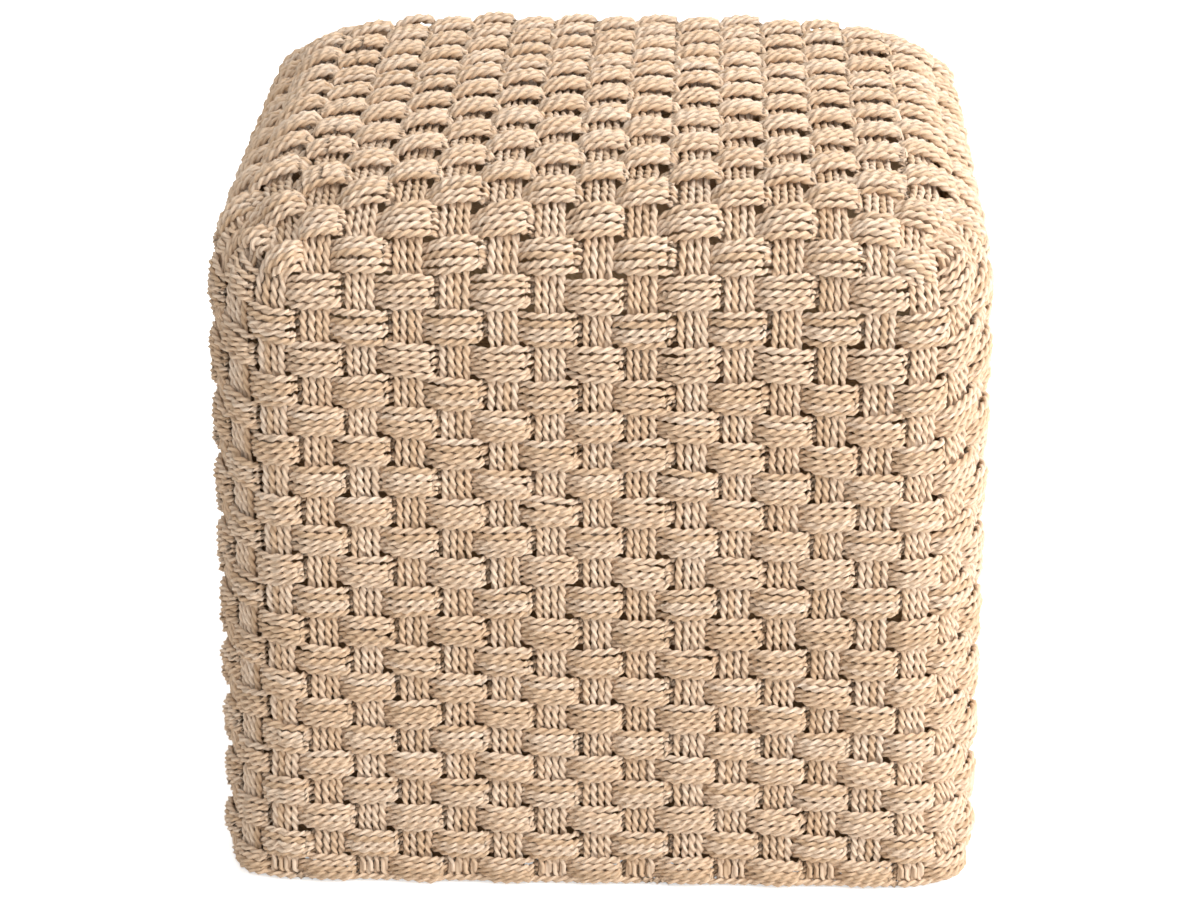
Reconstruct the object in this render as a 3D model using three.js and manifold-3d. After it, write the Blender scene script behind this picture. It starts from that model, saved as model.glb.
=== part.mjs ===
// Outdoor ottoman footstool: a soft cube in a basket weave of flat rope bundles, with foam pads on
// an aluminium frame inside. Millimetres, +Z up, front towards -Y, standing on Z = 0 at the middle.
import * as THREE from 'three';
import { mergeVertices } from 'three/addons/utils/BufferGeometryUtils.js';
import Module from 'manifold-3d';

const wasm = await Module();
wasm.setup();

// Overall form
const width = 457;
const depth = 457;
const height = 432;
const edgeRadius = 56;
const cornerRadius = 50;
const topCornerRadius = 100;
const crown = 12;

// Weave
const stakePitch = 26.8;
const rowPitch = 19;
const stakeWidth = 17;
const cornerStakeWidth = 11;
const stakeThickness = 3.2;
const weftWidth = 15.4;
const weftThickness = 2.4;
const weaveGap = 0.5;
const edgeMargin = 0.6;
const twistMargin = 2.4;
const tuckAngle = Math.PI / 5;
const hemInset = 36;
const cornerFootInset = 24;
const hemWidth = 12;
const hemLift = 3.5;
const borderWidth = 6;

// Pads, liner and seat board
const padThickness = 16;
const padGap = 2;
const linerThickness = 0.8;
const seatPadSkirt = 12;
const seatBoardThickness = 12;
const seatHoleRadius = 8;
const clearance = 0.3;

// Frame
const tubeSize = 25;
const tubeWall = 2;

// Base panel and glides
const basePanelThickness = 4.6;
const basePanelMargin = 5;
const drainHoleRadius = 8;
const glideRadius = 14;
const glideHeight = 3.2;
const glideEdge = 1.2;
const glideStemRadius = 3;
const glideInset = 75;

// Drain holes of the seat board and the base panel, as shares of their half widths
const drainShares = [[0, 0], [0.5, 0.5], [-0.5, 0.5], [-0.5, -0.5], [0.5, -0.5]];

const quarterTurn = Math.PI / 2;
const shoulder = height - crown - edgeRadius;

const ropeLook = { color: 0xcbab86, roughness: 0.85, metalness: 0 };
const stakeLook = { color: 0xb89a76, roughness: 0.88, metalness: 0 };
const foamLook = { color: 0xe6e2d6, roughness: 0.95, metalness: 0 };
const linerLook = { color: 0x8a7a66, roughness: 0.9, metalness: 0 };
const frameLook = { color: 0x55585a, roughness: 0.45, metalness: 0.6 };
const boardLook = { color: 0x3b3a38, roughness: 0.6, metalness: 0 };
const glideLook = { color: 0x26262a, roughness: 0.5, metalness: 0 };

const ottoman = new THREE.Group();

function place(name, geometry, look) {
  const mesh = new THREE.Mesh(geometry, new THREE.MeshStandardMaterial(look));
  mesh.name = name;
  ottoman.add(mesh);
}

// Solids: joined and cut through one library, and closed meshes built from corners

function toManifold(geometry) {
  const bare = geometry.clone();
  bare.deleteAttribute('normal');
  bare.deleteAttribute('uv');
  const merged = mergeVertices(bare);
  return new wasm.Manifold(new wasm.Mesh({
    numProp: 3,
    vertProperties: Float32Array.from(merged.attributes.position.array),
    triVerts: Uint32Array.from(merged.index.array),
  }));
}

function fromManifold(solid) {
  const mesh = solid.getMesh();
  const geometry = new THREE.BufferGeometry();
  geometry.setAttribute('position', new THREE.BufferAttribute(mesh.vertProperties, 3));
  geometry.setIndex(new THREE.BufferAttribute(mesh.triVerts, 1));
  return geometry;
}

function join(geometries) {
  return fromManifold(geometries.map(toManifold).reduce((whole, part) => whole.add(part)));
}

function slab(from, to) {
  const size = to.clone().sub(from);
  const middle = from.clone().add(to).divideScalar(2);
  return new THREE.BoxGeometry(size.x, size.y, size.z).translate(middle.x, middle.y, middle.z);
}

function solidOf(corners, triangles) {
  const volume = triangles.reduce((sum, [a, b, c]) =>
    sum + corners[a].dot(corners[b].clone().cross(corners[c])), 0);
  const outward = volume < 0 ? triangles.map(([a, b, c]) => [a, c, b]) : triangles;
  const geometry = new THREE.BufferGeometry();
  const values = corners.flatMap((corner) => corner.toArray());
  geometry.setAttribute('position', new THREE.Float32BufferAttribute(values, 3));
  geometry.setIndex(outward.flat());
  return geometry;
}

// The outer surface: rounded squares that draw in and grow rounder above the shoulder

function levelAt(climb) {
  const angle = THREE.MathUtils.clamp((climb - shoulder) / edgeRadius, 0, quarterTurn);
  const past = Math.max(0, climb - shoulder - edgeRadius * quarterTurn);
  const inset = edgeRadius * (1 - Math.cos(angle)) + past;
  return { inset, angle, z: Math.min(climb, shoulder) + edgeRadius * Math.sin(angle) };
}

function outlineAt(inset) {
  const share = Math.min(1, inset / edgeRadius);
  const halfX = width / 2 - inset;
  const halfY = depth / 2 - inset;
  const grown = cornerRadius + (topCornerRadius - cornerRadius) * share;
  return { halfX, halfY, radius: Math.min(grown, halfX, halfY) };
}

// How far a plan point lies outside an outline; below zero inside it
function beyond(outline, x, y) {
  const sideX = Math.abs(x) - outline.halfX + outline.radius;
  const sideY = Math.abs(y) - outline.halfY + outline.radius;
  const corner = Math.hypot(Math.max(sideX, 0), Math.max(sideY, 0));
  return corner + Math.min(Math.max(sideX, sideY), 0) - outline.radius;
}

function insetOf(x, y) {
  let low = 0;
  let high = Math.min(width, depth) / 2;
  for (let halving = 0; halving < 40; halving += 1) {
    const middle = (low + high) / 2;
    if (beyond(outlineAt(middle), x, y) > 0) high = middle;
    else low = middle;
  }
  return low;
}

function crownAt(inset) {
  const run = Math.min(width, depth) / 2 - edgeRadius;
  const share = THREE.MathUtils.clamp((inset - edgeRadius) / run, 0, 1);
  return crown * (1 - Math.cos(Math.PI * share)) / 2;
}

function topHeight(x, y) {
  const inset = insetOf(x, y);
  const reach = Math.max(edgeRadius - inset, 0);
  return shoulder + Math.sqrt(edgeRadius ** 2 - reach ** 2) + crownAt(inset);
}

function onTop(x, y) {
  const slopeX = (topHeight(x + weaveGap, y) - topHeight(x - weaveGap, y)) / (2 * weaveGap);
  const slopeY = (topHeight(x, y + weaveGap) - topHeight(x, y - weaveGap)) / (2 * weaveGap);
  return {
    point: new THREE.Vector3(x, y, topHeight(x, y)),
    out: new THREE.Vector3(-slopeX, -slopeY, 1).normalize(),
  };
}

// The four faces in turn from the front, each with its stakes and the corner stake after it

const faces = [0, 1, 2, 3].map((turn) => {
  const [half, halfAcross] = turn % 2 === 0 ? [width / 2, depth / 2] : [depth / 2, width / 2];
  const run = 2 * (half - cornerRadius) + cornerRadius * quarterTurn;
  const count = 2 * Math.round((run / stakePitch - 2) / 2) + 1;
  const places = Array.from({ length: count }, (_, index) =>
    (index - (count - 1) / 2) * run / (count + 1));
  return { turn, half, halfAcross, places };
});

const firstStakes = faces.map(({ turn }) =>
  faces.slice(0, turn).reduce((sum, { places }) => sum + places.length + 1, 0));

function widthOf(face, index) {
  return index > 0 && index < face.places.length - 1 ? stakeWidth : cornerStakeWidth;
}

// Stakes keep their place, but the outer two stay halfway between their neighbour and the corner
function turnAt(face, index, straight, radius) {
  const arcOf = (place) => Math.asin(THREE.MathUtils.clamp((Math.abs(place) - straight) / radius, 0, 1));
  if (index === face.places.length) return quarterTurn / 2;
  if (index > 0 && index < face.places.length - 1) return arcOf(face.places[index]);
  const neighbour = Math.abs(face.places[1]);
  const reach = Math.min(neighbour - straight, 0) + radius * (arcOf(neighbour) + quarterTurn / 2);
  return reach / 2 / radius;
}

function stationOn(face, index, level) {
  const { radius } = outlineAt(level.inset);
  const straight = face.half - level.inset - radius;
  const place = face.places[index] ?? straight + radius;
  const turned = turnAt(face, index, straight, radius);
  const along = turned > 0 ? Math.sign(place) * (straight + radius * Math.sin(turned)) : place;
  const across = radius - face.halfAcross + level.inset - radius * Math.cos(turned);
  const flat = Math.cos(level.angle);
  const station = {
    point: new THREE.Vector3(along, across, level.z),
    out: new THREE.Vector3(Math.sign(place) * Math.sin(turned) * flat, -Math.cos(turned) * flat,
      Math.sin(level.angle)),
    width: widthOf(face, index),
  };
  const upright = new THREE.Vector3(0, 0, 1);
  station.point.applyAxisAngle(upright, face.turn * quarterTurn);
  station.out.applyAxisAngle(upright, face.turn * quarterTurn);
  return station;
}

function stationsAt(climb) {
  const level = levelAt(climb);
  return faces.flatMap((face) =>
    Array.from({ length: face.places.length + 1 }, (_, index) => stationOn(face, index, level)));
}

// How fast a weft falls away from a station on its way to another, both at given depths
function fallRate(here, there, sunkHere, sunkThere) {
  const step = sunk(there, sunkThere).sub(sunk(here, sunkHere));
  const fall = -step.dot(here.out);
  return fall / Math.sqrt(step.lengthSq() - fall ** 2);
}

// How deep each stake's face, and each dive behind it, lies for a row to clear the stake's edges
function settle(stations) {
  const count = stations.length;
  const shallow = weftThickness + weaveGap;
  let face = stations.map(() => shallow);
  let dive = stations.map(() => 2 * shallow + stakeThickness);
  for (let round = 0; round < 40; round += 1) {
    const fallsFrom = (here, sunkHere, sunkThere) => [here + count - 1, here + 1].map((there) =>
      fallRate(stations[here], stations[there % count], sunkHere, sunkThere(there % count)));
    const over = stations.map(({ width: wide }, index) =>
      wide / 2 * Math.max(...fallsFrom(index, weftThickness, (other) => dive[other])));
    const under = stations.map(({ width: wide }, index) =>
      -wide / 2 * Math.min(...fallsFrom(index, dive[index], () => weftThickness)));
    face = over.map((fall) => shallow + fall);
    dive = under.map((rise, index) => face[index] + shallow + Math.max(stakeThickness, rise));
  }
  return { face, dive };
}

// A row's stops: it rides over a stake clear of its edges, dives behind it, or keeps its own depth
function layWeft(stations, closed = false) {
  const count = stations.length;
  let sinks = stations.map(({ sinks: own }) => own);
  for (let round = 0; round < 8; round += 1) {
    sinks = stations.map((station, index) => {
      if (station.free) return station.sinks;
      const near = [index - 1, index + 1].map((other) => (closed ? (other + count) % count : other));
      const rates = near.map((other) => fallRate(station, stations[other], sinks[index], sinks[other]));
      const over = station.edge * Math.max(...rates);
      const under = station.width / 2 * Math.min(...rates);
      if (station.rides) return Math.min(weftThickness, station.face - weaveGap - over);
      return Math.max(station.sinks, station.face + weftThickness + weaveGap - under);
    });
  }
  return stations.map((station, index) => ({
    point: sunk(station, sinks[index]),
    out: station.out,
    wide: weftWidth,
    crest: weftThickness,
  }));
}

// A rope bundle is a strip of three-cornered section along its stops: a flat face and a crest
function bundle(stops, closed = false) {
  const last = stops.length - 1;
  const corners = stops.flatMap(({ point, out, wide, crest }, index) => {
    const before = stops[index > 0 ? index - 1 : closed ? last : 0].point;
    const after = stops[index < last ? index + 1 : closed ? 0 : last].point;
    const side = after.clone().sub(before).cross(out).setLength(wide / 2);
    return [point.clone().sub(side), point.clone().add(side), point.clone().addScaledVector(out, crest)];
  });
  const triangles = stops.slice(closed ? 0 : 1).flatMap((_, span) => [0, 1, 2].flatMap((edge) => {
    const here = [span * 3 + edge, span * 3 + (edge + 1) % 3];
    const next = here.map((corner) => (corner + 3) % corners.length);
    return [[here[0], here[1], next[1]], [here[0], next[1], next[0]]];
  }));
  const end = 3 * last;
  return solidOf(corners, closed ? triangles : [...triangles, [0, 2, 1], [end, end + 1, end + 2]]);
}

function sunk({ point, out }, sunkIn) {
  return point.clone().addScaledVector(out, -sunkIn);
}

function between(a, b, share) {
  return {
    point: a.point.clone().lerp(b.point, share),
    out: a.out.clone().lerp(b.out, share).normalize(),
    width: a.width,
  };
}

// Rows: one spacing runs up the front, over the top and down the back

const firstRow = hemLift + stakeThickness + weaveGap + weftWidth / 2;
const halfRun = shoulder - firstRow + edgeRadius * quarterTurn + depth / 2 - edgeRadius;
const rowSpans = 2 * Math.round(halfRun / rowPitch);
const rowStep = 2 * halfRun / rowSpans;
const ringCount = 1 + Math.floor((shoulder - firstRow + edgeRadius * tuckAngle) / rowStep);
const stakeTop = ringCount - 1 / 2;
const firstBend = Math.floor((shoulder - firstRow) / rowStep - 1 / 2) + 1 / 2;
const climbOf = (row) => firstRow + row * rowStep;

// A ring's stations sit on the flat stretch of the stakes between two of their bends
function ringStations(row) {
  const below = stationsAt(climbOf(row - 1 / 2));
  const above = stationsAt(climbOf(row + 1 / 2));
  return below.map((station, index) => between(station, above[index], 1 / 2));
}

const settled = settle(stationsAt(0));
const deepestDive = Math.max(...settled.dive);
const tailSag = weftWidth ** 2 / (8 * (edgeRadius - deepestDive));
const tailDepth = deepestDive + 3 * weaveGap + weftThickness + tailSag;
const coverDepth = tailDepth + padGap;

function weftStation(station, index, row) {
  const rides = (index + row) % 2 === 1;
  const sinks = rides ? weftThickness : settled.dive[index];
  const twists = station.width === cornerStakeWidth && row > firstBend;
  const edge = station.width / 2 + (twists ? twistMargin : edgeMargin);
  return { ...station, rides, sinks, edge, face: settled.face[index] };
}

function weftRing(row) {
  const stations = ringStations(row).map((station, index) => weftStation(station, index, row));
  return bundle(layWeft(stations, true), true);
}

for (let row = 0; row < ringCount; row += 1) {
  place(`weft_row_${String(row + 1).padStart(2, '0')}`, weftRing(row), ropeLook);
}

// Stakes: each turns under the base in a foot and climbs behind and before the rows

function stakeStop(index, station) {
  return {
    point: sunk(station, settled.face[index]),
    out: station.out,
    wide: station.width,
    crest: -stakeThickness,
  };
}

function stakeFoot(index, footInset) {
  const station = stationsAt(0)[index];
  const down = new THREE.Vector3(0, 0, -1);
  const bend = sunk(station, settled.face[index]).setZ(hemLift);
  const under = sunk(station, footInset).setZ(hemLift);
  const slanted = station.out.clone().add(down).normalize();
  return [
    { point: under, out: down, wide: station.width, crest: -stakeThickness },
    { point: bend, out: slanted, wide: station.width, crest: -stakeThickness * Math.SQRT2 },
  ];
}

function stakeSide(index) {
  const stops = [];
  for (let row = firstBend; row <= stakeTop; row += 1) {
    stops.push(stakeStop(index, stationsAt(climbOf(row))[index]));
  }
  return stops;
}

function shortStake(index, footInset = hemInset) {
  return bundle([...stakeFoot(index, footInset), ...stakeSide(index)]);
}

// The hem bar that the feet of one side are bound to
function hemBar(face) {
  const first = firstStakes[face.turn];
  const ends = [first, first + face.places.length - 1].map((index) => stakeFoot(index, hemInset)[0].point);
  const bar = new THREE.Box3().setFromPoints(ends);
  const across = new THREE.Vector3(face.turn % 2, 1 - face.turn % 2, 0).multiplyScalar(hemWidth / 2);
  return slab(bar.min.sub(across), bar.max.add(across).setZ(hemLift + basePanelThickness));
}

function sideStakes(face) {
  const stakes = face.places.map((_, index) => shortStake(firstStakes[face.turn] + index));
  return [...stakes, hemBar(face)];
}

place('right_side_stakes', join(sideStakes(faces[1])), stakeLook);
place('left_side_stakes', join(sideStakes(faces[3])), stakeLook);
['front_right', 'back_right', 'back_left', 'front_left'].forEach((corner, turn) => {
  const index = firstStakes[turn] + faces[turn].places.length;
  place(`corner_stake_${corner}`, shortStake(index, cornerFootInset), stakeLook);
});

// Columns: the front and back stakes that run on over the top, bent between its rows

const topBendSpans = 5;
const topRows = Array.from({ length: rowSpans - 2 * ringCount + 1 }, (_, index) => ringCount + index);
const columns = faces[0].places
  .map((x, index) => ({ x, front: index, back: firstStakes[3] - 2 - index }))
  .filter(({ x }) => Math.abs(x) < width / 2 - edgeRadius);

function topPlace(row) {
  const y = depth / 2 - levelAt(climbOf(Math.min(row, rowSpans - row))).inset;
  return row < rowSpans / 2 ? -y : y;
}

function topBends() {
  const rising = [];
  for (let row = stakeTop + 1; climbOf(row - 1) < shoulder + edgeRadius * quarterTurn; row += 1) {
    rising.push(row);
  }
  const flatStart = rising.at(-1);
  const flat = Array.from({ length: topBendSpans - 1 }, (_, index) =>
    1 / 2 + Math.floor(flatStart + (rowSpans - 2 * flatStart) * (index + 1) / topBendSpans));
  return [...rising, ...flat, ...rising.map((row) => rowSpans - row).reverse()];
}

function columnTop({ x, front, back }) {
  const ends = [stationsAt(climbOf(stakeTop))[front], stationsAt(climbOf(stakeTop))[back]];
  const bends = topBends().map((row) => ({ row, ...onTop(x, topPlace(row)), width: stakeWidth }));
  return [{ row: stakeTop, ...ends[0] }, ...bends, { row: rowSpans - stakeTop, ...ends[1] }];
}

function column({ x, front, back }) {
  const over = columnTop({ x, front, back }).slice(1, -1).map((bend) => stakeStop(front, bend));
  const stops = [...stakeFoot(front, hemInset), ...stakeSide(front), ...over,
    ...stakeSide(back).reverse(), ...stakeFoot(back, hemInset).reverse()];
  return bundle(stops);
}

function shortFrontAndBack() {
  const long = columns.flatMap(({ front, back }) => [front, back]);
  return [0, 2].flatMap((turn) => faces[turn].places.map((_, index) => firstStakes[turn] + index))
    .filter((index) => !long.includes(index)).map((index) => shortStake(index));
}

function frontAndBackStakes() {
  const bars = [hemBar(faces[0]), hemBar(faces[2])];
  return join([...bars, ...columns.map(column), ...shortFrontAndBack()]);
}

place('front_and_back_stakes', frontAndBackStakes(), stakeLook);

// Top rows: each dips behind the last ring at both ends, where a border strip holds them all

const tops = columns.map(columnTop);

function crossingOf(top, row) {
  const next = top.findIndex((bend) => bend.row > row);
  const [from, to] = [top[next - 1], top[next]];
  return between(from, to, (row - from.row) / (to.row - from.row));
}

// Where a row meets a level of the outline on its way down the side
function tailStation(y, climb, sign) {
  const level = levelAt(climb);
  const { halfX, halfY, radius } = outlineAt(level.inset);
  const turned = Math.asin(THREE.MathUtils.clamp((Math.abs(y) - halfY + radius) / radius, 0, 1));
  const flat = Math.cos(level.angle);
  return {
    point: new THREE.Vector3(sign * (halfX - radius + radius * Math.cos(turned)), y, level.z),
    out: new THREE.Vector3(sign * Math.cos(turned) * flat, Math.sign(y) * Math.sin(turned) * flat,
      Math.sin(level.angle)),
    free: true,
    sinks: tailDepth,
  };
}

// From the last column a row sinks over the shoulder in two stops
function tail(y, sign, last) {
  const low = tailStation(y, climbOf(stakeTop) - borderWidth / 4, sign);
  const x = (last.point.x + low.point.x) / 2;
  return [{ ...onTop(x, y), free: true, sinks: (last.sinks + tailDepth) / 2 }, low];
}

function topRow(row) {
  const y = topPlace(row);
  const reach = tailStation(y, climbOf(stakeTop), 1).point.x - stakePitch;
  const crossings = tops.map((top, index) => {
    const { x, front } = columns[index];
    const station = crossingOf(top, row);
    return Math.abs(x) > reach ? { ...station, free: true, sinks: tailDepth } : weftStation(station, front, row);
  });
  const left = tail(y, -1, crossings[0]).reverse();
  return bundle(layWeft([...left, ...crossings, ...tail(y, 1, crossings.at(-1))]));
}

function borderStrip() {
  const ring = stationsAt(climbOf(stakeTop));
  const turns = (index) => ring.at(index % ring.length).width === cornerStakeWidth;
  const bends = ring.filter((_, index) => turns(index - 1) || turns(index) || turns(index + 1));
  return bundle(bends.map((station) => ({
    point: sunk(station, tailDepth + weftThickness / 3),
    out: station.out,
    wide: borderWidth,
    crest: weftThickness,
  })), true);
}

place('top_rows', join([borderStrip(), ...topRows.map(topRow)]), ropeLook);

// Outlines of plates and rings: rounded rectangles, pierced by round holes

const cornerSteps = 4;
const holeSteps = 4;

function roundedOutline(halfX, halfY, radius) {
  return [[1, 1], [-1, 1], [-1, -1], [1, -1]].flatMap(([signX, signY], quarter) =>
    Array.from({ length: cornerSteps + 1 }, (_, step) => {
      const turned = (quarter + step / cornerSteps) * quarterTurn;
      return new THREE.Vector2(signX * (halfX - radius) + radius * Math.cos(turned),
        signY * (halfY - radius) + radius * Math.sin(turned));
    }));
}

function roundHole(x, y, radius) {
  return new THREE.Path().absarc(x, y, radius, 0, 2 * Math.PI, false);
}

function extruded(shape, from, to) {
  const depthOptions = { depth: to - from, bevelEnabled: false, curveSegments: holeSteps };
  return new THREE.ExtrudeGeometry(shape, depthOptions).translate(0, 0, from);
}

function drainHoles(halfX, halfY, radius) {
  return drainShares.map(([shareX, shareY]) => roundHole(shareX * halfX, shareY * halfY, radius));
}

// Levels of the soft inside, from the frame's foot to the seat pad, and depths behind the surface

const frameFoot = hemLift + basePanelThickness + clearance;
const seatLevel = shoulder - seatPadSkirt;
const frameHead = seatLevel - seatBoardThickness - 2 * clearance;
const padDepth = coverDepth + linerThickness + clearance;
const frameDepth = padDepth + padThickness + clearance;

// The liner wraps the side pads, under the weave

function liner() {
  const at = (sunkIn) => roundedOutline(width / 2 - sunkIn, depth / 2 - sunkIn, cornerRadius - sunkIn);
  const shape = new THREE.Shape(at(coverDepth));
  shape.holes.push(new THREE.Path(at(coverDepth + linerThickness)));
  return extruded(shape, frameFoot, seatLevel - clearance);
}

place('inner_liner', liner(), linerLook);

// Side pads: one on each face, round outside at its ends and mitred to the next
function sidePad({ turn, half, halfAcross }) {
  const radius = cornerRadius - padDepth;
  const along = half - padDepth - clearance / Math.SQRT2;
  const across = halfAcross - padDepth;
  const mitre = 2 * (cornerSteps + 1) + cornerSteps / 2;
  const outside = roundedOutline(along, across, radius).slice(mitre, mitre + cornerSteps + 2);
  const inside = [along - padThickness, padThickness - along].map((x) =>
    new THREE.Vector2(x, padThickness - across));
  const shape = new THREE.Shape([...outside, ...inside]);
  return extruded(shape, frameFoot, seatLevel - clearance).rotateZ(turn * quarterTurn);
}

['front', 'right', 'back', 'left'].forEach((side, turn) => {
  place(`${side}_pad`, sidePad(faces[turn]), foamLook);
});

// Seat pad: the outer surface again, sunk below the weave, from its skirt up to the crown

const riseShares = [0, 1 / 4, 1 / 2, 3 / 4, 1];
const crownShares = [1 / 3, 2 / 3];

function seatPadLevels() {
  const rise = riseShares.map((share) => levelAt(shoulder + edgeRadius * quarterTurn * share));
  const run = Math.min(width, depth) / 2 - edgeRadius;
  const crowned = crownShares.map((share) => {
    const inset = edgeRadius + run * share;
    return { inset, angle: quarterTurn, z: shoulder + edgeRadius + crownAt(inset) };
  });
  return [levelAt(seatLevel), ...rise, ...crowned];
}

function seatPadRing({ inset, angle, z }) {
  const { halfX, halfY, radius } = outlineAt(inset);
  const across = coverDepth * Math.cos(angle);
  const height = z - coverDepth * Math.sin(angle);
  return roundedOutline(halfX - across, halfY - across, radius - across)
    .map(({ x, y }) => new THREE.Vector3(x, y, height));
}

// Rings of corners joined level by level, and closed at both ends round a middle point
function loft(rings, foot, head) {
  const size = rings[0].length;
  const corners = [...rings.flat(), foot, head];
  const bottom = corners.length - 2;
  const last = (rings.length - 1) * size;
  const triangles = rings[0].flatMap((_, index) => {
    const next = (index + 1) % size;
    const walls = rings.slice(1).flatMap((_ring, level) => {
      const [here, beside] = [level * size + index, level * size + next];
      return [[here, beside, beside + size], [here, beside + size, here + size]];
    });
    return [[bottom, next, index], ...walls, [last + index, last + next, bottom + 1]];
  });
  return solidOf(corners, triangles);
}

function seatPad() {
  const head = new THREE.Vector3(0, 0, height - coverDepth);
  return loft(seatPadLevels().map(seatPadRing), new THREE.Vector3(0, 0, seatLevel), head);
}

place('seat_pad', seatPad(), foamLook);

// Seat board: carries the seat pad on the frame, between the side pads

const frameHalfX = width / 2 - frameDepth;
const frameHalfY = depth / 2 - frameDepth;

function seatBoard() {
  const boardCorner = tubeSize / 2;
  const shape = new THREE.Shape(roundedOutline(frameHalfX, frameHalfY, boardCorner));
  shape.holes = drainHoles(frameHalfX, frameHalfY, seatHoleRadius);
  return extruded(shape, frameHead + clearance, seatLevel - clearance);
}

place('seat_board', seatBoard(), boardLook);

// Frame: four posts with rails butted between them at the foot and the head

function squareTube(length) {
  const square = (half) => [[1, 1], [-1, 1], [-1, -1], [1, -1]].map(([signX, signY]) =>
    new THREE.Vector2(signX * half, signY * half));
  const shape = new THREE.Shape(square(tubeSize / 2));
  shape.holes.push(new THREE.Path(square(tubeSize / 2 - tubeWall)));
  return extruded(shape, 0, length);
}

const corners = { front_right: [1, -1], back_right: [1, 1], back_left: [-1, 1], front_left: [-1, -1] };

Object.entries(corners).forEach(([corner, [signX, signY]]) => {
  const post = squareTube(frameHead - frameFoot);
  post.translate(signX * (frameHalfX - tubeSize / 2), signY * (frameHalfY - tubeSize / 2), frameFoot);
  place(`post_${corner}`, post, frameLook);
});

// A rail lies along its face, between the posts, with its outer side flush with them
function rail({ turn }, foot) {
  const [half, across] = turn % 2 === 0 ? [frameHalfX, frameHalfY] : [frameHalfY, frameHalfX];
  const length = 2 * (half - tubeSize - clearance);
  const tube = squareTube(length).rotateY(quarterTurn);
  return tube.translate(-length / 2, tubeSize / 2 - across, foot + tubeSize / 2).rotateZ(turn * quarterTurn);
}

['front', 'right', 'back', 'left'].forEach((side, turn) => {
  place(`top_rail_${side}`, rail(faces[turn], frameHead - tubeSize), frameLook);
  place(`base_rail_${side}`, rail(faces[turn], frameFoot), frameLook);
});

// Base panel: closes the foot inside the hem, under the frame, and takes the glides' stems

function glidePlace(signX, signY) {
  return [signX * (width / 2 - glideInset), signY * (depth / 2 - glideInset)];
}

function basePanel() {
  const inset = hemInset + hemWidth / 2 + basePanelMargin;
  const [halfX, halfY] = [width / 2 - inset, depth / 2 - inset];
  const shape = new THREE.Shape(roundedOutline(halfX, halfY, tubeSize));
  const stemHoles = Object.values(corners).map(([signX, signY]) =>
    roundHole(...glidePlace(signX, signY), glideStemRadius + clearance));
  shape.holes = [...drainHoles(halfX, halfY, drainHoleRadius), ...stemHoles];
  return extruded(shape, hemLift, hemLift + basePanelThickness);
}

place('base_panel', basePanel(), boardLook);

// Glides: a disc with a worn-round lower edge, on a stem pushed up into the panel

const glideSides = 12;

function glide(x, y) {
  const stemTop = hemLift + basePanelThickness;
  const profile = [[0, 0], [glideRadius - glideEdge, 0], [glideRadius, glideEdge],
    [glideRadius, glideHeight], [glideStemRadius, glideHeight], [glideStemRadius, stemTop], [0, stemTop]];
  const points = profile.map(([radius, level]) => new THREE.Vector2(radius, level));
  return new THREE.LatheGeometry(points, glideSides).rotateX(quarterTurn).translate(x, y, 0);
}

Object.entries(corners).forEach(([corner, [signX, signY]]) => {
  place(`glide_${corner}`, glide(...glidePlace(signX, signY)), glideLook);
});

export default ottoman;
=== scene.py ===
# Outdoor ottoman footstool: a soft cube in a basket weave of rope bundles round foam pads and a
# metal frame. Metres, +Z up, front towards -Y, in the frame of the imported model.
import math

import bpy
import numpy as np
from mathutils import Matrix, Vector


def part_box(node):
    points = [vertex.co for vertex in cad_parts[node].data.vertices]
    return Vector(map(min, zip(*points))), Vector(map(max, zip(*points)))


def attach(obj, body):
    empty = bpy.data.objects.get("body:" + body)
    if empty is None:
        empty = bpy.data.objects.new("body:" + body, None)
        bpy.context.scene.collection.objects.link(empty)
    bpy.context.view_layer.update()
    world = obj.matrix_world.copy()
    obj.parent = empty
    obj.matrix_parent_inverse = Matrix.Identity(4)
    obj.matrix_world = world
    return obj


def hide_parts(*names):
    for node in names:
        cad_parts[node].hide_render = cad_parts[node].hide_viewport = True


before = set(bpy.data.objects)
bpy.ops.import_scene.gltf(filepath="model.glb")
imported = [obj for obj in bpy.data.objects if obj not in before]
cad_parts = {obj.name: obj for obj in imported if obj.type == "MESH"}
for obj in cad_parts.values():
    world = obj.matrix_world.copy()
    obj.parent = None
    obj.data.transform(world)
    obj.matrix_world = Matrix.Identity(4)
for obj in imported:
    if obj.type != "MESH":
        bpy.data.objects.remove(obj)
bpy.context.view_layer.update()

# Camera: a long lens in front of the footstool and a little to its right, looking down on it at
# 21.5 degrees. The focal length is the photograph's, in pixels of a frame 1200 wide.
camera_place = (0.0631, -2.2494, 1.083)
camera_pitch = 0.376
camera_turn = 0.0302
focal_pixels = 3768
frame_pixels = 1200

camera_data = bpy.data.cameras.new("camera")
camera_data.sensor_width = 36
camera_data.lens = camera_data.sensor_width * focal_pixels / frame_pixels
camera = bpy.data.objects.new("camera", camera_data)
camera.location = camera_place
camera.rotation_euler = (math.pi / 2 - camera_pitch, 0, camera_turn)
bpy.context.scene.collection.objects.link(camera)
bpy.context.scene.camera = camera
bpy.context.scene.view_settings.view_transform = "Standard"


# Studio: a white room with a broad soft lamp on the right and weaker ones in front, above and behind.
# The floor and the room are plain white to the camera, and the floor keeps the soft shadow.
def linear(code):
    """A colour written as an sRGB hex value, as linear light with alpha 1."""
    channels = [int(code[i:i + 2], 16) / 255 for i in (1, 3, 5)]
    light = [c / 12.92 if c <= 0.04045 else ((c + 0.055) / 1.055) ** 2.4 for c in channels]
    return (*light, 1)


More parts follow.
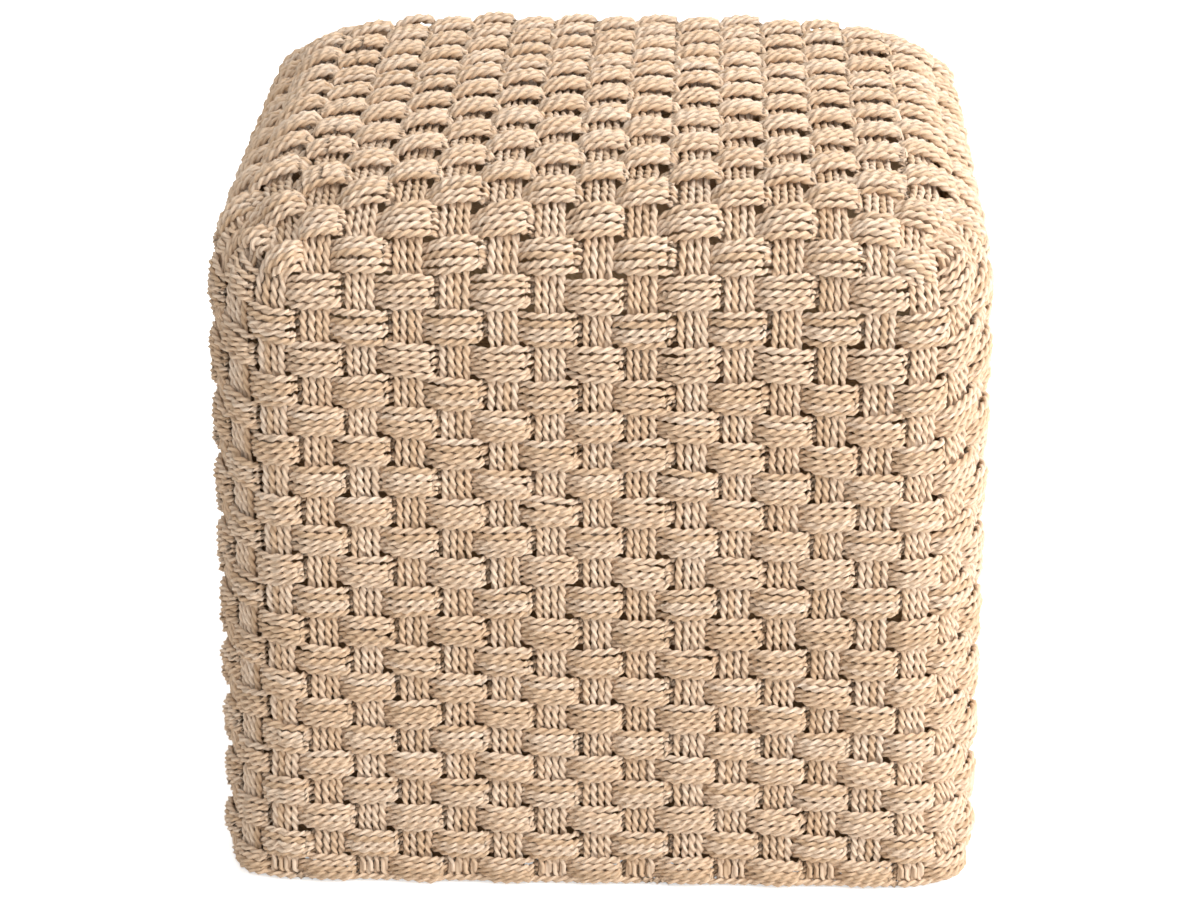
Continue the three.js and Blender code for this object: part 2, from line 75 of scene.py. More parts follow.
def add(tree, kind, inputs=(), **settings):
    """Adds a node: inputs gives each socket a value, or the output that links to it."""
    made = tree.nodes.new(kind)
    for name, value in settings.items():
        setattr(made, name, value)
    for key, value in dict(inputs).items():
        if isinstance(value, bpy.types.NodeSocket):
            tree.links.new(value, made.inputs[key])
        else:
            made.inputs[key].default_value = value
    return made


def blank_material(name):
    """A material with an empty node tree."""
    material = bpy.data.materials.new(name)
    material.use_nodes = True
    material.node_tree.nodes.clear()
    return material


def mesh_object(name, corners, edges=(), faces=()):
    """A new object at the origin from a list of corners."""
    mesh = bpy.data.meshes.new(name)
    mesh.from_pydata([tuple(c) for c in corners], edges, faces)
    made = bpy.data.objects.new(name, mesh)
    bpy.context.scene.collection.objects.link(made)
    return made


def seen_directly(tree):
    """The output that is 1 for what the camera sees, also in a mirror or through glass, or else 0."""
    seen = add(tree, "ShaderNodeLightPath")
    mirrored = add(tree, "ShaderNodeMath",
                   {0: seen.outputs["Is Glossy Ray"], 1: seen.outputs["Is Transmission Ray"]},
                   operation="ADD")
    direct = add(tree, "ShaderNodeMath", {0: seen.outputs["Is Camera Ray"], 1: mirrored.outputs[0]},
                 operation="ADD", use_clamp=True)
    return direct.outputs[0]


floor_glow = 0.55
room_light = 0.53
floor_half = 6

room_white = blank_material("white_paper")
tree = room_white.node_tree
paper = add(tree, "ShaderNodeBsdfDiffuse", {"Color": linear("#F4F3F1")})
lift = add(tree, "ShaderNodeEmission", {"Color": (1, 1, 1, 1), "Strength": floor_glow})
lit = add(tree, "ShaderNodeAddShader", {0: paper.outputs[0], 1: lift.outputs[0]})
either = add(tree, "ShaderNodeMixShader",
             {0: seen_directly(tree), 1: paper.outputs[0], 2: lit.outputs[0]})
add(tree, "ShaderNodeOutputMaterial", {"Surface": either.outputs[0]})

floor_corners = [(floor_half * x, floor_half * y, 0) for x, y in ((-1, -1), (1, -1), (1, 1), (-1, 1))]
floor = mesh_object("floor", floor_corners, faces=[(0, 1, 2, 3)])
floor.data.materials.append(room_white)

room = bpy.data.worlds.new("white_room")
room.use_nodes = True
tree = room.node_tree
tree.nodes.clear()
strength = add(tree, "ShaderNodeMapRange", {0: seen_directly(tree), 3: room_light, 4: 1.0})
light = add(tree, "ShaderNodeBackground", {"Color": (1, 1, 1, 1), "Strength": strength.outputs[0]})
add(tree, "ShaderNodeOutputWorld", {"Surface": light.outputs[0]})
bpy.context.scene.world = room


def softbox(name, place, size, power, target=(0, 0, 0.25)):
    """A square area lamp that faces a point of the footstool."""
    data = bpy.data.lights.new(name, "AREA")
    data.size = size
    data.energy = power
    lamp = bpy.data.objects.new(name, data)
    lamp.location = place
    aim = np.array(target) - np.array(place)
    tilt = math.acos(-aim[2] / np.linalg.norm(aim))
    lamp.rotation_euler = (tilt, 0, math.atan2(aim[1], aim[0]) - math.pi / 2)
    bpy.context.scene.collection.objects.link(lamp)


softbox("key_right", (2.2, -1.2, 1.4), 1.5, 74)
softbox("side_right", (2.6, 0.3, 1.5), 1.4, 18)
softbox("fill_front", (0.2, -2.8, 1.5), 1.6, 22)
softbox("overhead", (0.5, -0.4, 2.6), 2.0, 15)
softbox("behind", (-0.6, 2.7, 1.3), 1.6, 34)

# Frame: square tubes of powder-coated aluminium, welded at the corners. They are the packed
# model's own tubes, with a satin grey coat that shows a fine orange peel.
powder_coat = blank_material("powder_coated_aluminium")
tree = powder_coat.node_tree
where = add(tree, "ShaderNodeTexCoord")
peel = add(tree, "ShaderNodeTexNoise", {"Vector": where.outputs["Object"], "Scale": 1400, "Detail": 2})
relief = add(tree, "ShaderNodeBump", {"Height": peel.outputs[0], "Strength": 0.15, "Distance": 0.0001})
shade = add(tree, "ShaderNodeMix", {"A": linear("#55585A"), "B": linear("#606466"), 0: peel.outputs[0]},
            data_type="RGBA")
coat = add(tree, "ShaderNodeBsdfPrincipled", {
    "Roughness": 0.45, "Metallic": 0.0, "Base Color": shade.outputs[2], "Normal": relief.outputs[0]})
add(tree, "ShaderNodeOutputMaterial", {"Surface": coat.outputs[0]})


def finish_nodes(prefixes, material):
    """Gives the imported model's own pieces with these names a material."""
    for name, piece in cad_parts.items():
        if name.startswith(prefixes):
            piece.data.materials.clear()
            piece.data.materials.append(material)


finish_nodes(("post_", "top_rail_", "base_rail_"), powder_coat)

# Seat board and base panel: moulded sheets of weatherproof polypropylene, screwed to the frame
# from above and below. The mould leaves a fine leather grain.
moulded = blank_material("moulded_polypropylene")
tree = moulded.node_tree
where = add(tree, "ShaderNodeTexCoord")
grain = add(tree, "ShaderNodeTexVoronoi", {"Vector": where.outputs["Object"], "Scale": 900})
relief = add(tree, "ShaderNodeBump",
             {"Height": grain.outputs["Distance"], "Strength": 0.25, "Distance": 0.0002})
haze = add(tree, "ShaderNodeTexNoise", {"Vector": where.outputs["Object"], "Scale": 12, "Detail": 3})
shade = add(tree, "ShaderNodeMix", {"A": linear("#363533"), "B": linear("#42403D"), 0: haze.outputs[0]},
            data_type="RGBA")
plastic = add(tree, "ShaderNodeBsdfPrincipled", {
    "Roughness": 0.6, "IOR": 1.49, "Normal": relief.outputs[0], "Base Color": shade.outputs[2]})
add(tree, "ShaderNodeOutputMaterial", {"Surface": plastic.outputs[0]})
finish_nodes(("seat_board", "base_panel"), moulded)

# Glides: four round feet of hard polyamide, each pushed up into the base panel on its stem. Their
# colour is mottled with scuffs.
glide_nylon = blank_material("moulded_polyamide")
tree = glide_nylon.node_tree
where = add(tree, "ShaderNodeTexCoord")
scuffs = add(tree, "ShaderNodeTexNoise", {"Vector": where.outputs["Object"], "Scale": 260, "Detail": 4})
shade = add(tree, "ShaderNodeMix",
            {"A": linear("#232326"), "B": linear("#34343A"), 0: scuffs.outputs[0]}, data_type="RGBA")
plastic = add(tree, "ShaderNodeBsdfPrincipled",
              {"Roughness": 0.5, "IOR": 1.53, "Base Color": shade.outputs[2]})
add(tree, "ShaderNodeOutputMaterial", {"Surface": plastic.outputs[0]})
finish_nodes(("glide_",), glide_nylon)

# Side pads: four blocks of polyurethane foam stand round the frame, mitred to each other at the
# posts. Each is cut from sheet, so its faces show open cells and its edges are a little soft.
foam = blank_material("cut_polyurethane_foam")
tree = foam.node_tree
where = add(tree, "ShaderNodeTexCoord")
cells = add(tree, "ShaderNodeTexVoronoi", {"Vector": where.outputs["Object"], "Scale": 700})
relief = add(tree, "ShaderNodeBump",
             {"Height": cells.outputs["Distance"], "Strength": 0.5, "Distance": 0.0005})
yellowing = add(tree, "ShaderNodeTexNoise", {"Vector": where.outputs["Object"], "Scale": 9, "Detail": 2})
shade = add(tree, "ShaderNodeMix",
            {"A": linear("#E4E0D2"), "B": linear("#EFEBDF"), 0: yellowing.outputs[0]}, data_type="RGBA")
sponge = add(tree, "ShaderNodeBsdfPrincipled",
             {"Roughness": 0.95, "Normal": relief.outputs[0], "Base Color": shade.outputs[2]})
add(tree, "ShaderNodeOutputMaterial", {"Surface": sponge.outputs[0]})


def foam_block(node, bevel, cover):
    """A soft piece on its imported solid: merged, and rounded at its edges."""
    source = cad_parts[node].data
    corners = [tuple(v.co) for v in source.vertices]
    faces = [tuple(p.vertices) for p in source.polygons]
    block = mesh_object(node.replace("pad", "foam"), corners, faces=faces)
    for kind, settings in {"WELD": {"merge_threshold": 1e-5},
                           "BEVEL": {"width": bevel, "segments": 3, "limit_method": "ANGLE"}}.items():
        modifier = block.modifiers.new(kind.lower(), kind)
        for name, value in settings.items():
            setattr(modifier, name, value)
    evaluated = block.evaluated_get(bpy.context.evaluated_depsgraph_get())
    block.data = bpy.data.meshes.new_from_object(evaluated)
    block.modifiers.clear()
    block.data.materials.append(cover)
    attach(block, "root")
    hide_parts(node)


for side in ("front", "right", "back", "left"):
    foam_block(f"{side}_pad", 0.003, foam)

# Seat pad: a thick crowned cushion on the seat board, tapered down over the side pads at its skirt.
# It is sewn into undyed cotton canvas, so the gaps of the weave over it show straw-coloured.


def woven_cloth(name, dark, light):
    """A matt cloth of crossed threads about a millimetre wide."""
    material = blank_material(name)
    tree = material.node_tree
    where = add(tree, "ShaderNodeTexCoord")
    waves = {"Vector": where.outputs["Object"], "Scale": 160, "Distortion": 0.4}
    threads = [add(tree, "ShaderNodeTexWave", waves, bands_direction=way) for way in ("Z", "DIAGONAL")]
    weave = add(tree, "ShaderNodeMath", {0: threads[0].outputs[1], 1: threads[1].outputs[1]},
                operation="MAXIMUM")
    relief = add(tree, "ShaderNodeBump",
                 {"Height": weave.outputs[0], "Strength": 0.4, "Distance": 0.0004})
    shade = add(tree, "ShaderNodeMix", {"A": linear(dark), "B": linear(light), 0: weave.outputs[0]},
                data_type="RGBA")
    fabric = add(tree, "ShaderNodeBsdfPrincipled",
                 {"Roughness": 0.9, "Normal": relief.outputs[0], "Base Color": shade.outputs[2]})
    add(tree, "ShaderNodeOutputMaterial", {"Surface": fabric.outputs[0]})
    return material


foam_block("seat_pad", 0.004, woven_cloth("undyed_cotton_canvas", "#BB9A70", "#D6B88F"))

# Liner: a sleeve of brown polypropylene cloth sewn round the side pads, under the weave. It shows
# in the gaps of the sides as their dark ground.
cad_liner = [np.array(corner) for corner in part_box("inner_liner")]
liner_foot, liner_top = cad_liner[0][2], cad_liner[1][2]
liner_thickness = 0.0008
liner_half = cad_liner[1][0] - liner_thickness / 2
liner_corner = 0.029
liner_steps = 12
liner_levels = 12


def liner_outline():
    """Corner points of the sleeve's rounded square, anticlockwise from above."""
    points = []
    for quarter, (sx, sy) in enumerate([(1, 1), (-1, 1), (-1, -1), (1, -1)]):
        for step in range(liner_steps + 1):
            turned = (quarter + step / liner_steps) * math.pi / 2
            points.append((sx * (liner_half - liner_corner) + liner_corner * math.cos(turned),
                           sy * (liner_half - liner_corner) + liner_corner * math.sin(turned)))
    return points


outline = liner_outline()
corners = [(x, y, z) for z in np.linspace(liner_foot, liner_top, liner_levels) for x, y in outline]
count = len(outline)
quads = [(low + i, low + (i + 1) % count, low + count + (i + 1) % count, low + count + i)
         for low in range(0, count * (liner_levels - 1), count) for i in range(count)]
liner = mesh_object("liner_sleeve", corners, faces=quads)

liner.data.materials.append(woven_cloth("woven_polypropylene_cloth", "#8C6844", "#A9845A"))
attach(liner, "root")
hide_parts("inner_liner")

# Stakes: bundles of four twisted cords side by side, which turn up from the hem under the base
# and climb the sides 27 mm apart. Each cord is two plies of straw-coloured fibre laid together.
# Their feet are bound to three cords that lie along each side under the base.

# The outer surface is a rounded square at each height. It stands upright to the shoulder and turns
# over at the edge, where its corners grow rounder. At the foot they are squarer.
half = 0.2285
shoulder = 0.3689
edge_radius = 0.0643
corner_radius = 0.057
top_corner_radius = 0.1027
base_squareness = 0.012
square_climbs = (0.01, 0.08)
# Columns up to the last even one lie a full pitch from each other, and the next two draw together
# towards the corner.
face_columns = 16
even_columns = 6
corner_column = 8
column_pitch = 0.0270
column_stray = 0.035
column_stray_seed = 11


def eased(value, start, end):
    """0 to 1 between two values, with a soft start and end."""
    share = np.clip((value - start) / (end - start), 0, 1)
    return share ** 2 * (3 - 2 * share)


def level(climb):
    """Inset, lean and height of the outer surface at a length climbed up it."""
    lean = np.clip((climb - shoulder) / edge_radius, 0, math.pi / 2)
    past = np.maximum(0, climb - shoulder - edge_radius * math.pi / 2)
    inset = edge_radius * (1 - np.cos(lean)) + past
    return inset, lean, np.minimum(climb, shoulder) + edge_radius * np.sin(lean)


def outline_radius(inset):
    """Corner radius of the rounded square at an inset."""
    return corner_radius + (top_corner_radius - corner_radius) * np.minimum(1, inset / edge_radius)


def column_shift(k):
    """How far a column of the front stands out of its place, in columns. By the corners none does."""
    places = np.arange(-corner_column, corner_column + 1)
    shifts = np.random.default_rng(column_stray_seed).normal(0, column_stray, len(places))
    shifts[[0, 1, -2, -1]] = 0
    return np.interp(k, places, shifts)


def side_place(column, climb):
    """Point and outward direction on the sides. Columns count round them, 0 at the front's middle."""
    column, climb = np.broadcast_arrays(np.asarray(column, float), np.asarray(climb, float))
    inset, lean, z = level(climb)
    radius = outline_radius(inset) - base_squareness * np.interp(climb, square_climbs, [1, 0])
    straight = half - inset - radius
    turn = np.round(column / face_columns)
    local = column - face_columns * turn
    facing = np.cos(turn * math.pi / 2)
    local = local + facing * column_shift(facing * local)
    reach = np.abs(local)

    def arc_at(place):
        bent = np.arcsin(np.clip((place - straight) / radius, 0, 1))
        return np.where(place < straight, place, straight + radius * bent)

    last = arc_at(even_columns * column_pitch)
    corner = straight + radius * math.pi / 4
    beyond = (reach - even_columns) / (corner_column - even_columns)
    arc = np.where(reach > even_columns, last + beyond * (corner - last), arc_at(reach * column_pitch))
    swing = np.maximum(arc - straight, 0) / radius
    along = np.sign(local) * (np.minimum(arc, straight) + radius * np.sin(swing))
    across = -(straight + radius * np.cos(swing))
    out = np.array([np.sign(local) * np.sin(swing), -np.cos(swing)])
    c, s = np.cos(turn * math.pi / 2), np.sin(turn * math.pi / 2)
    point = np.stack([along * c - across * s, along * s + across * c, z], -1)
    flat = np.cos(lean)
    turned = [(out[0] * c - out[1] * s) * flat, (out[0] * s + out[1] * c) * flat]
    return point, np.stack([*turned, np.sin(lean)], -1)


# Length climbed up the front to some rows, as the photograph shows them: they lie widest at the
# edge of the top. On the sides they lie a little wider still.
ring_count = 21
measured_rows = (-0.6, 0, 2, 5, 8, 11, 15, 17, 19, 20, 22, 24, 26, 28, 30, 32)
measured_climbs = (0.0015, 0.0103, 0.0445, 0.0957, 0.1486, 0.2067, 0.2798, 0.3166, 0.3581, 0.3797,
                   0.4237, 0.4721, 0.5192, 0.5612, 0.5989, 0.6341)
side_spread = 0.0020
side_spread_row = 8
side_span = (7, 10)


def off_front(column):
    """How many columns away the nearer middle of the front or back is."""
    return np.abs((np.asarray(column, float) + face_columns) % (2 * face_columns) - face_columns)


def side_share(column):
    """0 at the columns of the front and back, 1 at those of the sides, and between at the corners."""
    return eased(off_front(column), *side_span)


def climb_of(row, side=0):
    """Length climbed up the surface to a row, counted from 0 at the base. The sides' rows lie wider."""
    row = np.asarray(row, float)
    spread = side * side_spread * np.maximum(row - side_spread_row, 0)
    return np.interp(row, measured_rows, measured_climbs) + spread


def sway(places, rng, size, shortest=0.02, longest=0.09, waves=4):
    """Small irregular shifts along a cord, from a few waves of random length."""
    shift = np.zeros(len(places))
    for _ in range(waves):
        turns = places * 2 * math.pi / rng.uniform(shortest, longest)
        shift += np.sin(turns + rng.uniform(0, 2 * math.pi))
    return size * shift / math.sqrt(waves)


def length_along(points):
    """Length from the first point to each point."""
    return np.concatenate([[0], np.cumsum(np.linalg.norm(np.diff(points, axis=0), axis=1))])


# A cord's two plies turn once round in 12 to 14 mm. Where its stops lie further apart than
# longest_twisted, behind other bundles, it is drawn without turns.
cord_diameter = 0.0051
cord_sides = 8
cord_lay = (0.0122, 0.0144)
cord_groove = 0.6
cord_girth_stray = 0.05
longest_twisted = 0.0042


def twisted_cord():
    """The node tree that turns centrelines into twisted cords of two plies with a groove between."""
    tree = bpy.data.node_groups.new("twisted_cord", "GeometryNodeTree")
    for name, kind in {"Geometry": "Geometry", "Diameter": "Float", "Groove": "Float", "Sides": "Int",
                       "Fibre": "Material"}.items():
        tree.interface.new_socket(name, in_out="INPUT", socket_type="NodeSocket" + kind)
    tree.interface.new_socket("Geometry", in_out="OUTPUT", socket_type="NodeSocketGeometry")
    given = add(tree, "NodeGroupInput")
    turn = add(tree, "GeometryNodeInputNamedAttribute", {"Name": "turn"}, data_type="FLOAT")
    lines = add(tree, "GeometryNodeMeshToCurve", {"Mesh": given.outputs["Geometry"]})
    turned = add(tree, "GeometryNodeSetCurveTilt", {"Curve": lines.outputs[0], "Tilt": turn.outputs[0]})

    radius = add(tree, "ShaderNodeMath", {0: given.outputs["Diameter"], 1: 0.5}, operation="MULTIPLY")
    ring = add(tree, "GeometryNodeCurvePrimitiveCircle",
               {"Resolution": given.outputs["Sides"], "Radius": radius.outputs[0]})
    where = add(tree, "GeometryNodeInputPosition")
    round_place = add(tree, "ShaderNodeVectorMath", {0: where.outputs[0]}, operation="NORMALIZE")
    split = add(tree, "ShaderNodeSeparateXYZ", {0: round_place.outputs[0]})
    valley = add(tree, "ShaderNodeMath", {0: split.outputs["Y"], 1: 2}, operation="POWER")
    cut = add(tree, "ShaderNodeMath", {0: valley.outputs[0], 1: given.outputs["Groove"]},
              operation="MULTIPLY")
    left = add(tree, "ShaderNodeMath", {0: 1, 1: cut.outputs[0]}, operation="SUBTRACT")
    drawn_in = add(tree, "ShaderNodeVectorMath", {0: where.outputs[0], "Scale": left.outputs[0]},
                   operation="SCALE")
    marked = add(tree, "GeometryNodeStoreNamedAttribute",
                 {"Geometry": ring.outputs[0], "Name": "round", "Value": round_place.outputs[0]},
                 data_type="FLOAT_VECTOR", domain="POINT")
    plies = add(tree, "GeometryNodeSetPosition",
                {"Geometry": marked.outputs[0], "Position": drawn_in.outputs[0]})

    girth = add(tree, "GeometryNodeInputNamedAttribute", {"Name": "girth"}, data_type="FLOAT")
    skin = add(tree, "GeometryNodeCurveToMesh",
               {"Curve": turned.outputs[0], "Profile Curve": plies.outputs[0], "Scale": girth.outputs[0],
                "Fill Caps": True})
    smooth = add(tree, "GeometryNodeSetShadeSmooth", {"Geometry": skin.outputs[0]})
    real = add(tree, "GeometryNodeRealizeInstances", {"Geometry": smooth.outputs[0]})
    finished = add(tree, "GeometryNodeSetMaterial",
                   {"Geometry": real.outputs[0], "Material": given.outputs["Fibre"]})
    add(tree, "NodeGroupOutput", {"Geometry": finished.outputs[0]})
    return tree


def straw_rope():
    """Natural fibre rope: dry and matt, paler on the crowns of its plies, with painted shade in the
    grooves between them.
    """
    material = blank_material("twisted_straw_fibre")
    tree = material.node_tree
    tone = add(tree, "ShaderNodeAttribute", attribute_name="tone")
    around = add(tree, "ShaderNodeAttribute", attribute_name="round")
    along = add(tree, "ShaderNodeAttribute", attribute_name="along")
    split = add(tree, "ShaderNodeSeparateXYZ", {0: around.outputs["Vector"]})
    place = add(tree, "ShaderNodeCombineXYZ",
                {0: split.outputs[0], 1: split.outputs[1], 2: along.outputs["Fac"]})
    # The fibres are drawn about 0.6 mm wide and 17 mm long, coarser than real ones, so that they show.
    stretched = add(tree, "ShaderNodeMapping", {"Vector": place.outputs[0], "Scale": (4.5, 4.5, 60)})
    fibres = add(tree, "ShaderNodeTexNoise",
                 {"Vector": stretched.outputs[0], "Scale": 1, "Detail": 4, "Roughness": 0.65})
    where = add(tree, "ShaderNodeTexCoord")
    patches = add(tree, "ShaderNodeTexNoise",
                  {"Vector": where.outputs["Object"], "Scale": 55, "Detail": 3})
    valley = add(tree, "ShaderNodeMath", {0: split.outputs[1], 1: 4}, operation="POWER")

    fresh = add(tree, "ShaderNodeMix",
                {0: tone.outputs["Fac"], "A": linear("#E3C9AB"), "B": linear("#FBEDDB")},
                data_type="RGBA")
    weathered = add(tree, "ShaderNodeMapRange", {0: tone.outputs["Fac"], 1: 0.2, 2: 0.0, 3: 0, 4: 0.45})
    pale = add(tree, "ShaderNodeMix",
               {0: weathered.outputs[0], "A": fresh.outputs[2], "B": linear("#BCAB93")}, data_type="RGBA")
    drawn = add(tree, "ShaderNodeMapRange", {0: fibres.outputs[0], 1: 0.3, 2: 0.7, 3: 0, 4: 1})
    streaked = add(tree, "ShaderNodeMix",
                   {0: drawn.outputs[0], "A": linear("#B98F66"), "B": pale.outputs[2]}, data_type="RGBA")
    mostly_streaked = add(tree, "ShaderNodeMix",
                          {0: 0.75, "A": pale.outputs[2], "B": streaked.outputs[2]}, data_type="RGBA")
    patched = add(tree, "ShaderNodeMapRange", {0: patches.outputs[0], 1: 0.35, 2: 0.7, 3: 0, 4: 0.45})
    aged = add(tree, "ShaderNodeMix",
               {0: patched.outputs[0], "A": mostly_streaked.outputs[2], "B": linear("#D8B896")},
               data_type="RGBA")
    # Painted shade: the grooves between the plies are darkened towards a deep brown.
    painted_shade_share = add(tree, "ShaderNodeMath", {0: valley.outputs[0], 1: 0.45}, operation="MULTIPLY")
    painted_groove_shade = add(tree, "ShaderNodeMix",
                  {0: painted_shade_share.outputs[0], "A": aged.outputs[2], "B": linear("#7E5430")}, data_type="RGBA")
    raised = add(tree, "ShaderNodeMath", {0: fibres.outputs[0], 1: valley.outputs[0]},
                 operation="SUBTRACT")
    relief = add(tree, "ShaderNodeBump",
                 {"Height": raised.outputs[0], "Strength": 0.8, "Distance": 0.0006})
    straw = add(tree, "ShaderNodeBsdfPrincipled", {
        "Base Color": painted_groove_shade.outputs[2], "Roughness": 0.78, "IOR": 1.45, "Specular IOR Level": 0.3,
        "Sheen Weight": 0.06, "Sheen Roughness": 0.5, "Normal": relief.outputs[0]})
    add(tree, "ShaderNodeOutputMaterial", {"Surface": straw.outputs[0]})
    return material


cord_tree = twisted_cord()
rope_fibre = straw_rope()


def rope_piece(name, cords, nodes, thick=1):
    """One piece of twisted cords along (points, closed) centrelines. It stands for those CAD nodes."""
    rng = np.random.default_rng(sum(map(ord, name)))
    corners, edges, values = [], [], {"turn": [], "along": [], "tone": [], "girth": []}
    for points, closed in cords:
        first = len(corners)
        along = length_along(points)
        steps = np.diff(along)
        twisted = np.concatenate([[0], np.cumsum(np.where(steps < longest_twisted, steps, 0))])
        whole = twisted[-1]
        turns = max(1, round(whole / rng.uniform(*cord_lay)))
        corners.extend(points)
        edges.extend((first + i, first + i + 1) for i in range(len(points) - 1))
        if closed:
            edges.append((first + len(points) - 1, first))
        values["turn"].extend(-2 * math.pi * turns * twisted / whole + rng.uniform(0, 2 * math.pi))
        values["along"].extend(along + rng.uniform(0, 10))
        values["tone"].extend(np.full(len(points), rng.uniform(0, 1)))
        girth = thick + sway(along, rng, cord_girth_stray)
        values["girth"].extend(girth + rng.uniform(-cord_girth_stray, cord_girth_stray))
    rope = mesh_object(name, corners, edges)
    for kind, numbers in values.items():
        attribute = rope.data.attributes.new(kind, "FLOAT", "POINT")
        attribute.data.foreach_set("value", np.array(numbers))
    modifier = rope.modifiers.new("twist", "NODES")
    modifier.node_group = cord_tree
    given = {"Diameter": cord_diameter, "Groove": cord_groove, "Sides": cord_sides, "Fibre": rope_fibre}
    for socket in cord_tree.interface.items_tree:
        if socket.name in given:
            modifier[socket.identifier] = given[socket.name]
    graph = bpy.context.evaluated_depsgraph_get()
    rope.data = bpy.data.meshes.new_from_object(
        rope.evaluated_get(graph), preserve_all_data_layers=True, depsgraph=graph)
    rope.modifiers.clear()
    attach(rope, "root")
    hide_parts(*nodes)


def stops_along(first, last, centre, fine, fine_steps, coarse_steps):
    """Places along a bundle: close together on its floats, at every other crossing, and few behind."""
    stops = []
    crossing = centre + 2 * math.floor((first - centre) / 2) - 2
    while crossing <= last + 2:
        stops.extend(np.linspace(crossing - fine, crossing + fine, fine_steps + 1))
        stops.extend(np.linspace(crossing + fine, crossing + 2 - fine, coarse_steps + 1)[1:-1])
        crossing += 2
    stops = np.array(stops)
    return stops[(stops >= first) & (stops <= last)]


hem_lift = 0.0010
hem_height = hem_lift + 1.4 * cord_diameter
hem_insets = (0.032, 0.036, 0.040)
hem_half = 0.188
hem_stops = 12
foot_insets = (0.036, 0.028, 0.020)
foot_bend = 0.006
foot_angles = np.linspace(0, 1.4, 5)
stake_start = 0.1
stake_top = ring_count - 0.6
corner_stake_top = ring_count + 1.8
stake_cord_pitch = 0.0044
stake_places = (-1.5, -0.5, 0.5, 1.5)
stake_depth = 0.0060
stake_tuck = 0.0005
stake_wave = 0.0009
stake_sway_across = 0.00025
stake_sway_depth = 0.0002
splay_row = 18
splay = 0.1
# Half the length of a stake's float, in rows, and the steps along it and along what lies behind.
stake_steps = (0.5, 9, 2)


def stake_foot(column, lateral, depth):
    """A stake's cord under the base: inwards over the ground from the hem, then round and up."""
    low = hem_lift + cord_diameter / 2
    run = [(low, inset) for inset in foot_insets]
    turns = [(low + foot_bend - foot_bend * math.cos(a), depth + foot_bend - foot_bend * math.sin(a))
             for a in foot_angles]
    profile = np.array(run + turns)
    point, normal = side_place(column + lateral / column_pitch, profile[:, 0])
    return point - normal * profile[:, 1:]


def by_corner(column):
    """Whether a column is a corner's own or the one beside it."""
    return abs((column + corner_column) % face_columns - corner_column) > even_columns


def stake_climb(column, lateral, rows, depth):
    """A stake's cord up the side at those rows. The cords of a corner's stakes splay near the top."""
    wide = np.where(rows > splay_row, 1 + (rows - splay_row) * splay * by_corner(column), 1)
    height = climb_of(rows, side_share(column))
    point, normal = side_place(column + lateral * wide / column_pitch, height)
    return point - normal * depth[:, None]


def stake_cords(column, seed):
    """The four cords of a short stake, from the hem to its end behind the last rows."""
    rng = np.random.default_rng(seed)
    top = corner_stake_top if by_corner(column) else stake_top
    rows = stops_along(stake_start, top, column + 1, *stake_steps)
    cords = []
    for place in stake_places:
        lateral = place * stake_cord_pitch + sway(climb_of(rows), rng, stake_sway_across)
        depth = stake_depth + stake_wave * np.cos(math.pi * (rows - column))
        depth += sway(climb_of(rows), rng, stake_sway_depth)
        depth += stake_tuck * np.clip(rows - ring_count + 0.5, 0, 1)
        foot = stake_foot(column, lateral[0], depth[0])
        cords.append((np.concatenate([foot, stake_climb(column, lateral, rows, depth)]), False))
    return cords


def hem_bar(turn):
    """Three cords under one side that the feet of its stakes are bound to."""
    along = np.linspace(-hem_half, hem_half, hem_stops)
    height = np.full(hem_stops, hem_height)
    c, s = math.cos(turn * math.pi / 2), math.sin(turn * math.pi / 2)
    cords = []
    for inset in hem_insets:
        across = np.full(hem_stops, inset - half)
        cords.append((np.stack([along * c - across * s, along * s + across * c, height], -1), False))
    return cords


for side, middle in {"right": 16, "left": 48}.items():
    stakes = [cord for k in range(-7, 8) for cord in stake_cords(middle + k, 100 * middle + k)]
    stakes += hem_bar(middle // face_columns)
    rope_piece(f"{side}_stakes", stakes, [f"{side}_side_stakes"])

for corner, column in {"front_right": 8, "back_right": 24, "back_left": 40, "front_left": 56}.items():
    rope_piece(f"{corner}_stake", stake_cords(column, column), [f"corner_stake_{corner}"])

# Columns: the front and back stakes that run on over the seat, each one bundle from hem to hem.
# The outermost run along the side roundings instead of over the flat of the top. The hem cords
# of the front and back belong to the middle group.
crown = 0.0115
row_spans = 64
row_step = 0.0193
outer_distance = 0.1904
outer_draw_in = 0.0095
draw_in_span = (0.150, 0.207)
column_seed = 900


def across_top(k):
    """Distance of a column from the middle of the top."""
    return (k + column_shift(k)) * column_pitch


def top_inset(x, y, halvings=32):
    """Inset of the rounded square that passes through a place seen from above."""
    low, high = np.zeros_like(x), np.full_like(x, half)
    for _ in range(halvings):
        middle = (low + high) / 2
        radius = np.minimum(outline_radius(middle), half - middle)
        side_x = np.abs(x) - half + middle + radius
        side_y = np.abs(y) - half + middle + radius
        beyond = (np.hypot(np.maximum(side_x, 0), np.maximum(side_y, 0))
                  + np.minimum(np.maximum(side_x, side_y), 0) - radius)
        low, high = np.where(beyond > 0, low, middle), np.where(beyond > 0, middle, high)
    return low


def top_height(x, y):
    """Height of the crowned top, and of its roundings down to the shoulder."""
    inset = top_inset(x, y)
    reach = np.maximum(edge_radius - inset, 0)
    share = np.clip((inset - edge_radius) / (half - edge_radius), 0, 1)
    return shoulder + np.sqrt(edge_radius ** 2 - reach ** 2) + crown * np.sin(math.pi / 2 * share)


